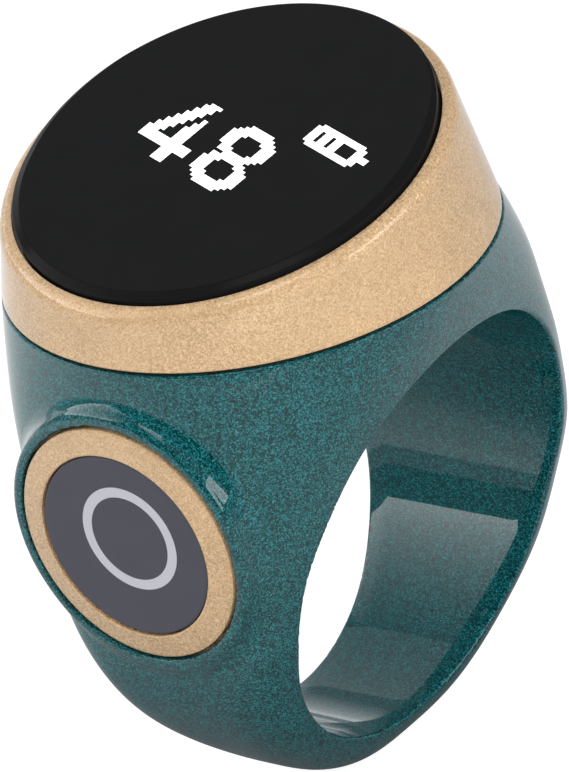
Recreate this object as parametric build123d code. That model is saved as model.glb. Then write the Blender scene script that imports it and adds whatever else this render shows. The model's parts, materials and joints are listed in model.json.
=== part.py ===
"""Digital tasbih counter worn as a finger ring.

Origin: centre of the finger bore.  +X runs along the finger, -Y points to the push button,
+Z points up to the display.  All lengths are millimetres, all angles degrees.
"""
import os
from math import cos, radians, sin, sqrt

from build123d import *

# Finger bore and shank
BORE_RADIUS = 10.0
UNDER_WALL = 2.26
BACK_WALL = 2.2
FRONT_WALL = 2.3
SHANK_HALF_WIDTH = 6.5

# Head of the ring: as wide as the display window and a margin, with its front just inside the shank's
HEAD_MARGIN = 1.46
HEAD_FRONT_INSET = 0.13

# Shoulder sections from the parting line down to the finger axis:
# height, widening, backward and forward reach, each as a share of its span, then the corner exponent
SHOULDER_SHARES = (
    (1.0, 1.0, 0.0, 1.0, 2.0),
    (0.8, 0.78, 0.29, 0.3, 2.6),
    (0.6, 0.57, 0.43, 0.1, 3.4),
    (0.4, 0.39, 0.63, 0.0, 4.4),
    (0.2, 0.18, 0.84, 0.0, 5.5),
    (0.0, 0.0, 1.0, 0.0, 6.2),
)
# Shank sections below the finger axis: turn towards the underside, then width, backward and forward
# reach as shares of the sizes at the finger axis, then the corner exponent
SHANK_SHARES = (
    (16, 0.87, 1.01, 1.01, 6.0),
    (32, 0.84, 1.01, 0.98, 5.1),
    (48, 0.86, 0.99, 0.93, 3.9),
    (63, 0.95, 0.98, 0.92, 3.2),
    (76, 1.01, 0.98, 0.92, 2.9),
    (86, 1.04, 0.97, 0.93, 2.5),
)
SECTION_POINTS = 24

# Cavity in the head
FLOOR_WALL = 1.1
CAVITY_LEDGE = 0.6
CAVITY_END_WALL = 1.7
CAVITY_DEPTH = 7.57

# Push button seat
BUTTON_HEIGHT = 5.16
BUTTON_RADIUS = 5.73
BUTTON_CLEARANCE = 0.12
BUTTON_TRAVEL = 0.25
COLLAR_WIDTH = 0.42
COLLAR_PROUD = 0.5
COLLAR_EDGE = 0.22
COLLAR_BLEND = 0.24
POCKET_DEPTH = 1.8

# Push button
BUTTON_CROWN = 0.27
CAP_RING_WIDTH = 1.23
INLAY_THICKNESS = 0.8
INLAY_RECESS = 0.11
INLAY_CLEARANCE = 0.03
CAP_BACK_GAP = 0.55
NUB_RADIUS = 1.2
BEAD_PROUD = 0.15
BEAD_LENGTH = 0.25
BEAD_CLEARANCE = 0.1
SEAL_INSET = 0.23
SEAL_WIDTH = 0.9
SEAL_THICKNESS = 0.25

# Tactile switch behind the button
SWITCH_WIDTH = 3.0
SWITCH_HEIGHT = 2.6
SWITCH_THICKNESS = 0.55
SWITCH_CLEARANCE = 0.2
SWITCH_RECESS = 0.8
SWITCH_EDGE = 0.15
PLUNGER_RADIUS = 0.65
PLUNGER_CLEARANCE = 0.07
PLUNGER_PROUD = 0.3
PLUNGER_SUNK = 0.25
TOUCH_GAP = 0.03
SWITCH_FLEX_WIDTH = 2.4
SWITCH_FLEX_REACH = 3.0
SWITCH_FLEX_CLEARANCE = 0.2
FLEX_THICKNESS = 0.15

# Gold bezel: a wedge between the level parting line and the tilted display rim
CASE_GASKET_THICKNESS = 0.12
CASE_GASKET_WIDTH = 1.2
CASE_GASKET_INSET = 0.2
BEZEL_BASE_EDGE = 0.12
BEZEL_BASE_INSET = 0.02
BEZEL_WALL = 2.35
RIM_TILT = 11.72
RIM_RISE = 4.83
RIM_LEAN = 0.415
RIM_LAND = 0.56
BEZEL_TOP_ROUNDING = 0.45

# Display window and the parts glued under it
WINDOW_MARGIN = 3.54
WINDOW_CLEARANCE = 0.1
WINDOW_PROUD = 0.39
WINDOW_THICKNESS = 1.29
WINDOW_CHAMFER = 0.24
WINDOW_GASKET_THICKNESS = 0.15
WINDOW_GASKET_WIDTH = 0.74
DISPLAY_TURN = -22.0
PANEL_SHIFT = 0.4
PANEL_LENGTH = 12.6
PANEL_DEPTH = 8.4
PANEL_GLASS = 0.6
PANEL_LEDGE = 1.5
PANEL_CLEARANCE = 0.1
ADHESIVE_THICKNESS = 0.1
ADHESIVE_INSET = 0.3
FRAME_CLEARANCE = 0.2
FRAME_FLOOR = 0.65
FRAME_TOP_GAP = 0.2
LEG_RADIUS = 0.8
LEG_INSET = 0.35
LEG_ANGLES = (22, 158, 202, 338)
DISPLAY_FLEX_WIDTH = 5.0
DISPLAY_FLEX_REACH = 1.6
DISPLAY_FLEX_LAP = 1.0

# Main board and what is soldered to it, in places that are shares of the board's radius
BOARD_CLEARANCE = 0.15
BOARD_THICKNESS = 0.6
CONNECTOR_LENGTH = 6.0
CONNECTOR_DEPTH = 1.6
CONNECTOR_HEIGHT = 1.0
CONTROLLER_SIZE = (4.0, 4.0, 0.85)
CONTROLLER_SHARES = (-0.455, 0.22)
CHARGER_SIZE = (2.0, 2.0, 0.6)
CHARGER_SHARES = (0.523, 0.39)
CRYSTAL_SIZE = (2.0, 1.6, 0.5)
CRYSTAL_SHARES = (-0.523, -0.12)
ANTENNA_SIZE = (3.2, 1.6, 0.7)
ANTENNA_SHARES = (0.5, -0.12)
PASSIVE_SIZE = (0.6, 0.35, 0.3)
PASSIVE_PITCH = 0.85
PASSIVE_COUNT = 6
PASSIVE_ROW_SHARE = -0.11
CHIP_EDGE = 0.1

# Battery under the board
BATTERY_LENGTH = 11.4
BATTERY_DEPTH = 9.0
BATTERY_THICKNESS = 2.0
BATTERY_EDGE = 0.5
BATTERY_HEADROOM = 0.22
PAD_THICKNESS = 0.25
PAD_END_INSET = 1.7
PAD_SIDE_INSET = 1.5
PAD_CLEARANCE = 0.02
TAB_WIDTH = 2.0
TAB_THICKNESS = 0.12
TAB_SPREAD = 2.6
TAB_LAP = 0.9

# Charging contacts through the roof of the finger bore
CONTACT_GAP = 0.6
CONTACT_HEAD_RADIUS = 0.9
CONTACT_HEAD_THICKNESS = 0.4
CONTACT_STEM_RADIUS = 0.5
CONTACT_CLEARANCE = 0.05
CONTACT_RECESS = 0.05

# Vibration motor on the board
MOTOR_INSET = 0.43
MOTOR_RADIUS = 2.5
MOTOR_HEIGHT = 1.7
MOTOR_WALL = 0.2
MOTOR_PAD_THICKNESS = 0.1
MOTOR_SHAFT_RADIUS = 0.3
WEIGHT_RADIUS = 2.1
WEIGHT_THICKNESS = 0.8
WEIGHT_HUB_RADIUS = 0.75
WEIGHT_CLEARANCE = 0.06

# Every cut runs past the face it opens by this much
OVERRUN = 1.0

# Where an edge is sampled, as shares of its length, and how near to a radius it has to run
SAMPLE_SHARES = (0.15, 0.5, 0.85)
EDGE_TOLERANCE = 0.06

# Sizes and places worked out from the sizes above
SHANK_UNDER = BORE_RADIUS + UNDER_WALL
SHANK_BACK = BORE_RADIUS + BACK_WALL
SHANK_FRONT = BORE_RADIUS + FRONT_WALL
WINDOW_RADIUS = PANEL_LENGTH / 2 + WINDOW_MARGIN
HEAD_RADIUS = WINDOW_RADIUS + HEAD_MARGIN
HEAD_FRONT = SHANK_FRONT - HEAD_FRONT_INSET
HEAD_OFFSET = HEAD_FRONT - HEAD_RADIUS
HEAD_BACK = HEAD_RADIUS - HEAD_OFFSET
FLOOR_RADIUS = BORE_RADIUS + FLOOR_WALL
BATTERY_BASE = FLOOR_RADIUS + PAD_THICKNESS
BATTERY_TOP = BATTERY_BASE + BATTERY_THICKNESS
PARTING_HEIGHT = BATTERY_TOP + BATTERY_HEADROOM
BEZEL_BASE = PARTING_HEIGHT + CASE_GASKET_THICKNESS
BEZEL_BORE_RADIUS = HEAD_RADIUS - BEZEL_WALL
RIM_HEIGHT = PARTING_HEIGHT + RIM_RISE
RIM_SHIFT = HEAD_OFFSET + RIM_LEAN

BOARD_RADIUS = BEZEL_BORE_RADIUS - BOARD_CLEARANCE
BOARD_TOP = PARTING_HEIGHT + BOARD_THICKNESS
CONNECTOR_TOP = BOARD_TOP + CONNECTOR_HEIGHT
CAVITY_HALF_WIDTH = BOARD_RADIUS - CAVITY_LEDGE
CAVITY_HALF_DEPTH = HEAD_RADIUS - CAVITY_END_WALL
CAVITY_BOTTOM = PARTING_HEIGHT - CAVITY_DEPTH
CONTACT_SPREAD = BATTERY_LENGTH / 2 + CONTACT_GAP + CONTACT_STEM_RADIUS
MOTOR_PLACE = BOARD_RADIUS - MOTOR_RADIUS - MOTOR_INSET - HEAD_OFFSET
MOTOR_BASE = BOARD_TOP + MOTOR_PAD_THICKNESS
MOTOR_TOP = MOTOR_BASE + MOTOR_HEIGHT

POCKET_RADIUS = BUTTON_RADIUS + BUTTON_CLEARANCE
COLLAR_RADIUS = POCKET_RADIUS + COLLAR_WIDTH
COLLAR_FACE = SHANK_FRONT + COLLAR_PROUD
POCKET_FLOOR = COLLAR_FACE - POCKET_DEPTH
INLAY_RADIUS = BUTTON_RADIUS - CAP_RING_WIDTH
SEAL_OUTER_RADIUS = BUTTON_RADIUS - SEAL_INSET
CAP_BACK = POCKET_FLOOR + CAP_BACK_GAP
CAP_CROWN = COLLAR_FACE + BUTTON_CROWN
SWITCH_FLOOR = POCKET_FLOOR - SWITCH_RECESS
SWITCH_BACK = SWITCH_FLOOR + FLEX_THICKNESS
SWITCH_FACE = SWITCH_BACK + SWITCH_THICKNESS
PLUNGER_TIP = SWITCH_FACE + PLUNGER_PROUD

WINDOW_SEAT_RADIUS = WINDOW_RADIUS + WINDOW_CLEARANCE
WINDOW_BACK = WINDOW_PROUD - WINDOW_THICKNESS
WINDOW_SEAT = WINDOW_BACK - WINDOW_GASKET_THICKNESS
PANEL_TOP = WINDOW_BACK - ADHESIVE_THICKNESS
PANEL_MIDDLE = PANEL_TOP - PANEL_GLASS
PANEL_BACK = PANEL_MIDDLE - PANEL_GLASS
FRAME_RADIUS = BEZEL_BORE_RADIUS - FRAME_CLEARANCE
FRAME_BACK = PANEL_BACK - FRAME_FLOOR
FRAME_TOP = WINDOW_SEAT - FRAME_TOP_GAP
LEG_CIRCLE = FRAME_RADIUS - LEG_RADIUS - LEG_INSET

HEAD_PLANE = Plane(origin=(0, -HEAD_OFFSET, 0))
BUTTON_PLANE = Plane(origin=(0, 0, BUTTON_HEIGHT), x_dir=(1, 0, 0), z_dir=(0, -1, 0))
WINDOW_PLANE = Plane(
    origin=(0, -RIM_SHIFT, RIM_HEIGHT),
    x_dir=(1, 0, 0),
    z_dir=(0, -sin(radians(RIM_TILT)), cos(radians(RIM_TILT))),
)
PANEL_PLANE = Plane(WINDOW_PLANE.location * Rot(0, 0, DISPLAY_TURN) * Pos(PANEL_SHIFT, 0, 0))

STANDING = (Align.CENTER, Align.CENTER, Align.MIN)


def disc(plane, low, high, radius):
    """A round slab square to the plane, between two heights above it."""
    return plane.offset(low) * Cylinder(radius, high - low, align=STANDING)


def ring(plane, low, high, inner, outer):
    """A flat washer square to the plane."""
    return disc(plane, low, high, outer) - disc(plane, low - OVERRUN, high + OVERRUN, inner)


def block(plane, low, high, length, depth, place=(0, 0)):
    """A rectangular slab square to the plane, centred on a place in it."""
    return plane.offset(low) * Pos(*place) * Box(length, depth, high - low, align=STANDING)


def finger_cylinder(radius):
    """A long cylinder along the finger."""
    return Cylinder(radius, 2 * (HEAD_RADIUS + OVERRUN), rotation=(0, 90, 0))


def outline(height, half_width, back, front, exponent):
    """One level section of the ring: an oval whose corners square up with the exponent."""
    middle = (back - front) / 2
    half_depth = (back + front) / 2
    points = []
    for index in range(SECTION_POINTS):
        turn = radians(360 * index / SECTION_POINTS - 90)
        size = (abs(cos(turn)) ** exponent + abs(sin(turn)) ** exponent) ** (1 / exponent)
        points.append((half_width * cos(turn) / size, middle + half_depth * sin(turn) / size, height))
    return Wire(Edge.make_spline([Vector(*point) for point in points], periodic=True))


def ring_form():
    """The outer form: a loft from the round head down to the rounded underside of the shank."""
    sections = []
    for height_share, width_share, back_share, front_share, exponent in SHOULDER_SHARES:
        half_width = SHANK_HALF_WIDTH + (HEAD_RADIUS - SHANK_HALF_WIDTH) * width_share
        back = HEAD_BACK + (SHANK_BACK - HEAD_BACK) * back_share
        front = SHANK_FRONT + (HEAD_FRONT - SHANK_FRONT) * front_share
        sections.append(outline(PARTING_HEIGHT * height_share, half_width, back, front, exponent))
    for turn, width_share, back_share, front_share, exponent in SHANK_SHARES:
        level = cos(radians(turn))
        half_width = SHANK_HALF_WIDTH * width_share * level
        back = SHANK_BACK * back_share * level
        front = SHANK_FRONT * front_share * level
        sections.append(outline(-SHANK_UNDER * sin(radians(turn)), half_width, back, front, exponent))
    return Part() + Solid.make_loft(sections)


def edges_at_radius(part, plane, radius, low, high):
    """The edges that run round the plane's axis at a radius, between two heights."""
    found = []
    for edge in part.edges():
        places = [plane.to_local_coords(edge @ share) for share in SAMPLE_SHARES]
        at_radius = all(abs(sqrt(place.X**2 + place.Y**2) - radius) < EDGE_TOLERANCE for place in places)
        if at_radius and all(low < place.Z < high for place in places):
            found.append(edge)
    return found


def ring_body():
    """Coloured body: shank, shoulders, head with its cavity, and the collar round the button."""
    body = ring_form() - finger_cylinder(BORE_RADIUS)
    body += disc(BUTTON_PLANE, POCKET_FLOOR, COLLAR_FACE, COLLAR_RADIUS)
    near_face = COLLAR_FACE - COLLAR_EDGE
    past_face = COLLAR_FACE + OVERRUN
    body = fillet(edges_at_radius(body, BUTTON_PLANE, COLLAR_RADIUS, 0, near_face), COLLAR_BLEND)
    body = fillet(edges_at_radius(body, BUTTON_PLANE, COLLAR_RADIUS, near_face, past_face), COLLAR_EDGE)
    body -= head_cavity()
    body -= button_pocket()
    for contact_stem, contact_head in contact_places():
        body -= contact_stem + contact_head
    return body


def head_cavity():
    """Oval room for the electronics; its floor follows the finger bore."""
    room = Ellipse(CAVITY_HALF_WIDTH, CAVITY_HALF_DEPTH)
    cavity = HEAD_PLANE.offset(CAVITY_BOTTOM) * extrude(room, PARTING_HEIGHT + OVERRUN - CAVITY_BOTTOM)
    return cavity - finger_cylinder(FLOOR_RADIUS)


def button_pocket():
    """Round pocket with a snap groove, the recess for the switch and the way up for its flex."""
    pocket = disc(BUTTON_PLANE, POCKET_FLOOR, COLLAR_FACE + OVERRUN, POCKET_RADIUS)
    groove_low = CAP_BACK - BUTTON_TRAVEL - BEAD_CLEARANCE
    groove_high = CAP_BACK + BEAD_LENGTH + BEAD_CLEARANCE
    pocket += disc(BUTTON_PLANE, groove_low, groove_high, BUTTON_RADIUS + BEAD_PROUD + BEAD_CLEARANCE)
    recess_width = SWITCH_WIDTH + 2 * SWITCH_CLEARANCE
    recess_height = SWITCH_HEIGHT + 2 * SWITCH_CLEARANCE
    pocket += block(BUTTON_PLANE, SWITCH_FLOOR, POCKET_FLOOR + OVERRUN, recess_width, recess_height)
    way_width = SWITCH_FLEX_WIDTH + 2 * SWITCH_FLEX_CLEARANCE
    way_high = SWITCH_BACK + SWITCH_FLEX_CLEARANCE
    way_height = PARTING_HEIGHT + OVERRUN - BUTTON_HEIGHT
    pocket += block(BUTTON_PLANE, SWITCH_FLOOR, way_high, way_width, way_height, (0, way_height / 2))
    return pocket


def contact_places():
    """Stepped holes for the two charging contacts: a stem hole and a head counterbore each."""
    holes = []
    for side in (-1, 1):
        plane = Plane(origin=(side * CONTACT_SPREAD, 0, 0))
        shoulder = BORE_RADIUS + CONTACT_RECESS + CONTACT_HEAD_THICKNESS
        stem = disc(plane, 0, PARTING_HEIGHT, CONTACT_STEM_RADIUS + CONTACT_CLEARANCE)
        head = disc(plane, 0, shoulder, CONTACT_HEAD_RADIUS + CONTACT_CLEARANCE)
        holes.append((stem, head))
    return holes


def charging_contacts():
    """Two stepped pins, set just inside the roof of the bore and reaching up to the board."""
    pins = []
    for side in (-1, 1):
        plane = Plane(origin=(side * CONTACT_SPREAD, 0, 0))
        face = BORE_RADIUS + CONTACT_RECESS
        pin = disc(plane, face, face + CONTACT_HEAD_THICKNESS, CONTACT_HEAD_RADIUS)
        pin += disc(plane, face, PARTING_HEIGHT, CONTACT_STEM_RADIUS)
        pins.append(pin.solid())
    return Compound(children=pins)


def case_gasket():
    """Flat sealing ring in the parting line."""
    outer = HEAD_RADIUS - CASE_GASKET_INSET
    return ring(HEAD_PLANE, PARTING_HEIGHT, BEZEL_BASE, outer - CASE_GASKET_WIDTH, outer)


def bezel():
    """Gold wedge: a level round base, a tilted round rim and a seat for the window."""
    base = HEAD_PLANE.offset(BEZEL_BASE) * Circle(HEAD_RADIUS - BEZEL_BASE_INSET)
    rim = WINDOW_PLANE * Circle(WINDOW_SEAT_RADIUS + RIM_LAND)
    wedge = loft([base, rim], ruled=True)
    wedge -= disc(WINDOW_PLANE, WINDOW_SEAT, OVERRUN, WINDOW_SEAT_RADIUS)
    wedge -= disc(HEAD_PLANE, 0, RIM_HEIGHT + OVERRUN, BEZEL_BORE_RADIUS)
    rim_edges = edges_at_radius(wedge, WINDOW_PLANE, WINDOW_SEAT_RADIUS + RIM_LAND, -RIM_LAND, RIM_LAND)
    wedge = fillet(rim_edges, BEZEL_TOP_ROUNDING)
    base_radius = HEAD_RADIUS - BEZEL_BASE_INSET
    base_edges = edges_at_radius(wedge, HEAD_PLANE, base_radius, PARTING_HEIGHT, BEZEL_BASE + RIM_LAND)
    return chamfer(base_edges, BEZEL_BASE_EDGE)


def display_window():
    """Black glass disc with a chamfered top edge, standing a little proud of the rim."""
    glass = disc(WINDOW_PLANE, WINDOW_BACK, WINDOW_PROUD, WINDOW_RADIUS)
    top = edges_at_radius(glass, WINDOW_PLANE, WINDOW_RADIUS, WINDOW_BACK + WINDOW_CHAMFER, OVERRUN)
    return chamfer(top, WINDOW_CHAMFER)


def window_gasket():
    """Adhesive ring between the window and its seat in the bezel."""
    inner = WINDOW_RADIUS - WINDOW_GASKET_WIDTH
    return ring(WINDOW_PLANE, WINDOW_SEAT, WINDOW_BACK, inner, WINDOW_RADIUS)


def oled_adhesive():
    """Clear sheet that bonds the display panel to the window."""
    depth = PANEL_DEPTH - PANEL_LEDGE
    place = (0, PANEL_LEDGE / 2)
    inset = 2 * ADHESIVE_INSET
    return block(PANEL_PLANE, PANEL_TOP, WINDOW_BACK, PANEL_LENGTH - inset, depth - inset, place)


def oled_panel():
    """Display panel: a cover glass on a longer back glass, whose bare ledge takes the flex."""
    back_glass = block(PANEL_PLANE, PANEL_BACK, PANEL_MIDDLE, PANEL_LENGTH, PANEL_DEPTH)
    cover_place = (0, PANEL_LEDGE / 2)
    cover = block(PANEL_PLANE, PANEL_MIDDLE, PANEL_TOP, PANEL_LENGTH, PANEL_DEPTH - PANEL_LEDGE, cover_place)
    return back_glass + cover


def display_frame():
    """Tray under the panel, cut straight at the flex side, on four legs that stand on the board."""
    tray = disc(WINDOW_PLANE, FRAME_BACK, FRAME_TOP, FRAME_RADIUS)
    for angle in LEG_ANGLES:
        foot = Pos(LEG_CIRCLE * cos(radians(angle)), LEG_CIRCLE * sin(radians(angle)))
        post = Cylinder(LEG_RADIUS, RIM_HEIGHT - BOARD_TOP, align=STANDING)
        leg = HEAD_PLANE.offset(BOARD_TOP) * foot * post
        tray += leg - disc(WINDOW_PLANE, FRAME_BACK + FRAME_FLOOR / 2, RIM_HEIGHT, HEAD_RADIUS)
    fit = 2 * PANEL_CLEARANCE
    tray -= block(PANEL_PLANE, PANEL_BACK, OVERRUN, PANEL_LENGTH + fit, PANEL_DEPTH + fit)
    cut_place = (0, -(PANEL_DEPTH + FRAME_RADIUS) / 2)
    cut_length = 2 * (FRAME_RADIUS + PANEL_SHIFT)
    tray -= block(PANEL_PLANE, FRAME_BACK - OVERRUN, OVERRUN, cut_length, FRAME_RADIUS, cut_place)
    return tray


def flex_drop():
    """Where the display flex turns down, how far it drops, and where it meets the connector."""
    turn = -PANEL_DEPTH / 2 - DISPLAY_FLEX_REACH
    start = PANEL_PLANE.from_local_coords(Vector(0, turn, PANEL_MIDDLE))
    drop = (start.Z - CONNECTOR_TOP) / cos(radians(RIM_TILT))
    return turn, drop, PANEL_PLANE.from_local_coords(Vector(0, turn, PANEL_MIDDLE - drop))


def display_flex():
    """Flat flex from the panel's ledge, over its edge and down to the connector."""
    turn, drop, end = flex_drop()
    lap_length = DISPLAY_FLEX_LAP - PANEL_DEPTH / 2 - turn
    lap_place = (0, turn + lap_length / 2)
    lap_top = PANEL_MIDDLE + FLEX_THICKNESS
    flat = block(PANEL_PLANE, PANEL_MIDDLE, lap_top, DISPLAY_FLEX_WIDTH, lap_length, lap_place)
    fall_place = (0, turn + FLEX_THICKNESS / 2)
    fall_end = PANEL_MIDDLE - drop - OVERRUN
    fall = block(PANEL_PLANE, fall_end, PANEL_MIDDLE, DISPLAY_FLEX_WIDTH, FLEX_THICKNESS, fall_place)
    below = block(Plane.XY, 0, CONNECTOR_TOP, 2 * HEAD_RADIUS, 2 * HEAD_FRONT)
    return flat + (fall - below)


def flex_connector():
    """Board connector that the display flex plugs into."""
    turn, drop, end = flex_drop()
    plane = Plane(Location((end.X, end.Y, 0)) * Rot(0, 0, DISPLAY_TURN))
    return block(plane, BOARD_TOP, CONNECTOR_TOP, CONNECTOR_LENGTH, CONNECTOR_DEPTH)


def main_board():
    """Round circuit board, carried on the ledges at the two long sides of the cavity."""
    return disc(HEAD_PLANE, PARTING_HEIGHT, BOARD_TOP, BOARD_RADIUS)


def chip(size, place_shares):
    """A soldered component with a bevelled top."""
    length, depth, height = size
    place = [BOARD_RADIUS * share for share in place_shares]
    body = block(HEAD_PLANE, BOARD_TOP, BOARD_TOP + height, length, depth, place)
    return chamfer(body.faces().sort_by(Axis.Z)[-1].edges(), CHIP_EDGE)


def board_passives():
    """A row of small capacitors and resistors."""
    length, depth, height = PASSIVE_SIZE
    row = BOARD_RADIUS * PASSIVE_ROW_SHARE
    pieces = []
    for index in range(PASSIVE_COUNT):
        across = (index - (PASSIVE_COUNT - 1) / 2) * PASSIVE_PITCH
        piece = block(HEAD_PLANE, BOARD_TOP, BOARD_TOP + height, length, depth, (across, row))
        pieces.append(piece.solid())
    return Compound(children=pieces)


def battery_cell():
    """Flat pouch cell with rounded long edges."""
    cell = block(HEAD_PLANE, BATTERY_BASE, BATTERY_TOP, BATTERY_LENGTH, BATTERY_DEPTH)
    return fillet(cell.edges().filter_by(Axis.Y), BATTERY_EDGE)


def battery_pad():
    """Foam pad between the flat cell and the round roof of the bore."""
    length = BATTERY_LENGTH - 2 * PAD_END_INSET
    depth = BATTERY_DEPTH - 2 * PAD_SIDE_INSET
    pad = block(Plane.XY, CAVITY_BOTTOM, BATTERY_BASE, length, depth)
    return pad - finger_cylinder(FLOOR_RADIUS + PAD_CLEARANCE)


def battery_tabs():
    """Two nickel strips from the end of the cell up to the board."""
    back = BATTERY_DEPTH / 2
    tabs = []
    for side in (-1, 1):
        place = (side * TAB_SPREAD, back + TAB_THICKNESS / 2)
        tab = block(HEAD_PLANE, BATTERY_TOP - TAB_LAP, PARTING_HEIGHT, TAB_WIDTH, TAB_THICKNESS, place)
        tabs.append(tab.solid())
    return Compound(children=tabs)


def motor_plane():
    """Level plane on the vibration motor's axis."""
    return Plane(origin=(0, MOTOR_PLACE, 0))


def motor_pad():
    """Adhesive disc under the motor."""
    return disc(motor_plane(), BOARD_TOP, MOTOR_BASE, MOTOR_RADIUS)


def motor_base():
    """Bottom plate of the motor."""
    return disc(motor_plane(), MOTOR_BASE, MOTOR_BASE + MOTOR_WALL, MOTOR_RADIUS)


def motor_can():
    """Drawn cup that closes the motor from above."""
    cup = disc(motor_plane(), MOTOR_BASE + MOTOR_WALL, MOTOR_TOP, MOTOR_RADIUS)
    return cup - disc(motor_plane(), MOTOR_BASE, MOTOR_TOP - MOTOR_WALL, MOTOR_RADIUS - MOTOR_WALL)


def motor_shaft():
    """Fixed pin that the weight turns on."""
    return disc(motor_plane(), MOTOR_BASE + MOTOR_WALL, MOTOR_TOP - MOTOR_WALL, MOTOR_SHAFT_RADIUS)


def motor_weight():
    """Half-round weight on a hub: off centre, so that it shakes the ring as it spins."""
    middle = (MOTOR_BASE + MOTOR_TOP) / 2
    low = middle - WEIGHT_THICKNESS / 2
    high = middle + WEIGHT_THICKNESS / 2
    weight = disc(motor_plane(), low, high, WEIGHT_RADIUS)
    half_place = (0, -MOTOR_RADIUS / 2)
    weight -= block(motor_plane(), low - OVERRUN, high + OVERRUN, 2 * MOTOR_RADIUS, MOTOR_RADIUS, half_place)
    weight += disc(motor_plane(), low, high, WEIGHT_HUB_RADIUS)
    return weight - disc(motor_plane(), low - OVERRUN, high + OVERRUN, MOTOR_SHAFT_RADIUS + WEIGHT_CLEARANCE)


def switch_flex():
    """Flex circuit from the switch, up the front of the cavity and under the edge of the board."""
    low = BUTTON_HEIGHT - SWITCH_HEIGHT / 2
    height = PARTING_HEIGHT - low
    place = (0, height / 2 - SWITCH_HEIGHT / 2)
    riser = block(BUTTON_PLANE, SWITCH_FLOOR, SWITCH_BACK, SWITCH_FLEX_WIDTH, height, place)
    reach_base = PARTING_HEIGHT - FLEX_THICKNESS
    reach_place = (0, -SWITCH_BACK + SWITCH_FLEX_REACH / 2)
    reach = block(Plane.XY, reach_base, PARTING_HEIGHT, SWITCH_FLEX_WIDTH, SWITCH_FLEX_REACH, reach_place)
    return riser + reach


def switch_body():
    """Low tactile switch with a round opening for its plunger."""
    body = block(BUTTON_PLANE, SWITCH_BACK, SWITCH_FACE, SWITCH_WIDTH, SWITCH_HEIGHT)
    body = chamfer(body.edges().filter_by(Axis.Y), SWITCH_EDGE)
    return body - disc(BUTTON_PLANE, 0, COLLAR_FACE, PLUNGER_RADIUS + PLUNGER_CLEARANCE)


def switch_plunger():
    """Round plunger of the switch, pressed by the nub of the button."""
    return disc(BUTTON_PLANE, SWITCH_FACE - PLUNGER_SUNK, PLUNGER_TIP, PLUNGER_RADIUS)


def button_seal():
    """Soft ring on the floor of the pocket."""
    seal_top = POCKET_FLOOR + SEAL_THICKNESS
    inner = SEAL_OUTER_RADIUS - SEAL_WIDTH
    return ring(BUTTON_PLANE, POCKET_FLOOR, seal_top, inner, SEAL_OUTER_RADIUS)


def button_cap():
    """Gold cap: a coned ring, a recess for the inlay, a snap bead and a nub for the switch."""
    inlay_floor = CAP_CROWN - INLAY_RECESS - INLAY_THICKNESS
    seat = INLAY_RADIUS + INLAY_CLEARANCE
    bead_radius = BUTTON_RADIUS + BEAD_PROUD
    profile = Polyline(
        (0, PLUNGER_TIP + TOUCH_GAP),
        (NUB_RADIUS, PLUNGER_TIP + TOUCH_GAP),
        (NUB_RADIUS, CAP_BACK),
        (bead_radius, CAP_BACK),
        (bead_radius, CAP_BACK + BEAD_LENGTH),
        (BUTTON_RADIUS, CAP_BACK + BEAD_LENGTH),
        (BUTTON_RADIUS, COLLAR_FACE),
        (seat, CAP_CROWN),
        (seat, inlay_floor),
        (0, inlay_floor),
        close=True,
    )
    upright = Plane(origin=(0, 0, BUTTON_HEIGHT), x_dir=(1, 0, 0), z_dir=(0, 0, 1))
    section = upright * make_face(mirror(profile, Plane.XZ))
    return revolve(section, Axis((0, 0, BUTTON_HEIGHT), (0, 1, 0)))


def button_inlay():
    """Black disc set into the cap."""
    face = CAP_CROWN - INLAY_RECESS
    return disc(BUTTON_PLANE, face - INLAY_THICKNESS, face, INLAY_RADIUS)


PIECES = {
    "ring_body": ring_body,
    "bezel": bezel,
    "case_gasket": case_gasket,
    "display_window": display_window,
    "window_gasket": window_gasket,
    "oled_adhesive": oled_adhesive,
    "oled_panel": oled_panel,
    "display_frame": display_frame,
    "display_flex": display_flex,
    "flex_connector": flex_connector,
    "main_board": main_board,
    "controller_chip": lambda: chip(CONTROLLER_SIZE, CONTROLLER_SHARES),
    "charger_chip": lambda: chip(CHARGER_SIZE, CHARGER_SHARES),
    "clock_crystal": lambda: chip(CRYSTAL_SIZE, CRYSTAL_SHARES),
    "radio_antenna": lambda: chip(ANTENNA_SIZE, ANTENNA_SHARES),
    "board_passives": board_passives,
    "battery_cell": battery_cell,
    "battery_pad": battery_pad,
    "battery_tabs": battery_tabs,
    "charging_contacts": charging_contacts,
    "motor_pad": motor_pad,
    "motor_base": motor_base,
    "motor_can": motor_can,
    "motor_shaft": motor_shaft,
    "motor_weight": motor_weight,
    "switch_flex": switch_flex,
    "switch_body": switch_body,
    "switch_plunger": switch_plunger,
    "button_seal": button_seal,
    "button_cap": button_cap,
    "button_inlay": button_inlay,
}

os.makedirs("parts", exist_ok=True)
for name, make in PIECES.items():
    export_step(make(), f"parts/{name}.step")
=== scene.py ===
"""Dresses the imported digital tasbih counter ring: shapes, finishes, studio and camera.

Lengths in the classes are millimetres in the row frame (origin at the bore's centre, +X along the
finger, -Y to the button, +Z up); the meshes are metres.
"""
import json
import logging
from dataclasses import dataclass
from enum import Enum
from math import atan2, cos, pi, radians, sin
from typing import Callable, Optional, Sequence

import bmesh
import bpy
import numpy as np
from mathutils import Matrix, Vector


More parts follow.
